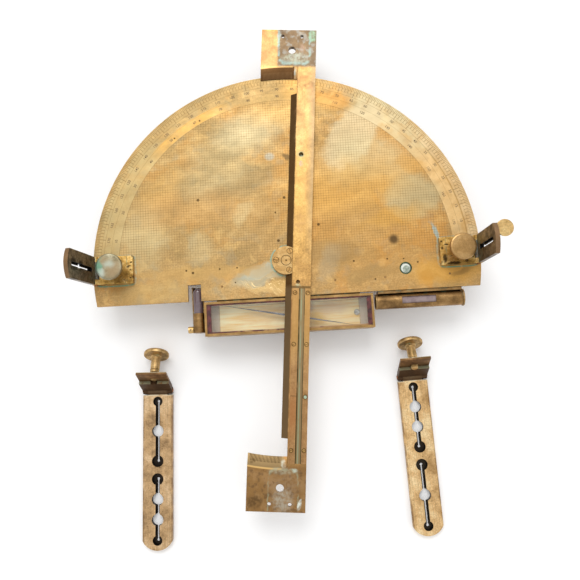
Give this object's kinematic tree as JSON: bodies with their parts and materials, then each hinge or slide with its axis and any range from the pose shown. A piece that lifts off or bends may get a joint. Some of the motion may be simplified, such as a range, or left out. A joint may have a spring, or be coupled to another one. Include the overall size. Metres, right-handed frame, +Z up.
{
  "type": "graphometer",
  "caption": "Half-circle brass surveying instrument with a turning sight rule, trough compass, spirit levels, folding end sights, a staff socket and a pair of long sights taken off the rule.",
  "frame": {"origin": "on the pivot axis of the sight rule, at the mouth of the staff socket, on the table", "axes": "+X along the base line to the right, +Y to the top of the arc, +Z up out of the engraved face"},
  "size_m": [0.3171, 0.407, 0.0862],
  "materials": {
    "engraved_brass": "engraved and tarnished, fine divisions",
    "rule_brass": "planed, worn bright on its edges",
    "rolled_brass": "rolled sheet, mottled tarnish",
    "foot_brass": "filed, mottled tarnish",
    "vane_brass": "dark tarnish",
    "turned_brass": "turned and polished",
    "pale_brass": "worn bright",
    "cast_brass": "cast, filed",
    "box_brass": "sheet, soldered corners",
    "dark_brass": "dark tarnish",
    "copper": "copper wire, riveted",
    "blued_steel": "blued, worn grey",
    "window_glass": "clear, thin",
    "spirit_glass": "glass filled with spirit",
    "paper_card": "yellowed paper on a thin plate",
    "sealing_wax": "dull wax"
  },
  "bodies": {
    "root": {"limb_plate": "engraved_brass", "pivot_pin": "pale_brass", "pivot_nut": "dark_brass", "staff_socket": "cast_brass", "socket_screws": "dark_brass", "compass_box": "box_brass", "compass_bracket": "dark_brass", "bracket_screws": "dark_brass", "compass_glass": "window_glass", "sealing_strips": "sealing_wax", "compass_card": "paper_card", "needle_point": "blued_steel", "cross_level_tube": "dark_brass", "cross_level_vial": "spirit_glass", "cross_level_block": "cast_brass", "long_level_tube": "dark_brass", "long_level_caps": "cast_brass", "long_level_vial": "spirit_glass", "long_level_bracket": "dark_brass", "eye_ring": "dark_brass", "eye_glass": "spirit_glass", "left_end_foot": "foot_brass", "right_end_foot": "foot_brass", "end_steady_pins": "pale_brass", "hinge_pins": "copper", "left_long_vane": "rolled_brass", "right_long_vane": "rolled_brass", "lifter_lever": "cast_brass"},
    "alidade": {"sight_rule": "rule_brass", "pivot_flange": "pale_brass", "flange_screws": "dark_brass", "guide_strips": "rule_brass", "guide_screws": "dark_brass"},
    "needle": {"compass_needle": "blued_steel", "needle_cap": "pale_brass"},
    "lifter_screw": {"lifter_screw": "blued_steel"},
    "left_end_vane": {"left_end_vane": "vane_brass"},
    "right_end_vane": {"right_end_vane": "vane_brass", "vane_lug": "cast_brass"},
    "vane_disc_screw": {"vane_disc_screw": "turned_brass"},
    "left_end_thumb_screw": {"left_end_thumb_screw": "turned_brass"},
    "right_end_thumb_screw": {"right_end_thumb_screw": "turned_brass"},
    "left_sight_foot": {"left_sight_foot": "foot_brass", "left_sight_steady_pins": "pale_brass"},
    "right_sight_foot": {"right_sight_foot": "foot_brass", "right_sight_steady_pins": "pale_brass"},
    "left_sight_thumb_screw": {"left_sight_thumb_screw": "turned_brass"},
    "right_sight_thumb_screw": {"right_sight_thumb_screw": "turned_brass"},
    "capstan_screw": {"capstan_screw": "turned_brass"}
  },
  "joints": [
    {"name": "alidade_turn", "type": "hinge", "parent": "root", "child": "alidade", "pos_m": [0, 0, 0.0361], "axis": [0, 0, 1], "range_deg": [-69, 78]},
    {"name": "needle_swing", "type": "hinge", "parent": "root", "child": "needle", "pos_m": [0, -0.0415, 0.0267], "axis": [0, 0, 1], "range_deg": [0, 22.8]},
    {"name": "lifter_screw_turn", "type": "hinge", "parent": "root", "child": "lifter_screw", "pos_m": [0.053, -0.0415, 0.02], "axis": [0, 0, 1], "continuous": true},
    {"name": "left_end_vane_fold", "type": "hinge", "parent": "root", "child": "left_end_vane", "pos_m": [-0.147, 0, 0.0392], "axis": [0, -1, 0], "range_deg": [-6.5, 83.5]},
    {"name": "right_end_vane_fold", "type": "hinge", "parent": "root", "child": "right_end_vane", "pos_m": [0.147, 0, 0.0392], "axis": [0, 1, 0], "range_deg": [0, 90]},
    {"name": "vane_disc_screw_turn", "type": "hinge", "parent": "right_end_vane", "child": "vane_disc_screw", "pos_m": [0.1563, 0.008, 0.076], "axis": [0, 0, 1], "continuous": true},
    {"name": "left_end_thumb_screw_turn", "type": "hinge", "parent": "root", "child": "left_end_thumb_screw", "pos_m": [-0.1314, 0, 0.045], "axis": [0, 0, 1], "continuous": true},
    {"name": "right_end_thumb_screw_turn", "type": "hinge", "parent": "root", "child": "right_end_thumb_screw", "pos_m": [0.1314, 0, 0.045], "axis": [0, 0, 1], "continuous": true},
    {"name": "left_sight_foot_fold", "type": "hinge", "parent": "root", "child": "left_sight_foot", "pos_m": [-0.10985, -0.0944, 0.0036], "axis": [0.9994, -0.034, 0], "range_deg": [-0.4, 25]},
    {"name": "right_sight_foot_fold", "type": "hinge", "parent": "root", "child": "right_sight_foot", "pos_m": [0.0955, -0.0944, 0.0036], "axis": [0.9995, 0.0314, 0], "range_deg": [-2, 25]},
    {"name": "left_sight_thumb_screw_turn", "type": "hinge", "parent": "left_sight_foot", "child": "left_sight_thumb_screw", "pos_m": [-0.1095, -0.08407, 0.0182], "axis": [-0.0308, -0.9058, 0.4226], "continuous": true},
    {"name": "right_sight_thumb_screw_turn", "type": "hinge", "parent": "right_sight_foot", "child": "right_sight_thumb_screw", "pos_m": [0.09517, -0.08407, 0.0182], "axis": [0.0285, -0.9059, 0.4226], "continuous": true},
    {"name": "capstan_screw_turn", "type": "hinge", "parent": "root", "child": "capstan_screw", "pos_m": [-0.07055, -0.0486, 0.028], "axis": [1, 0, 0], "continuous": true}
  ]
}
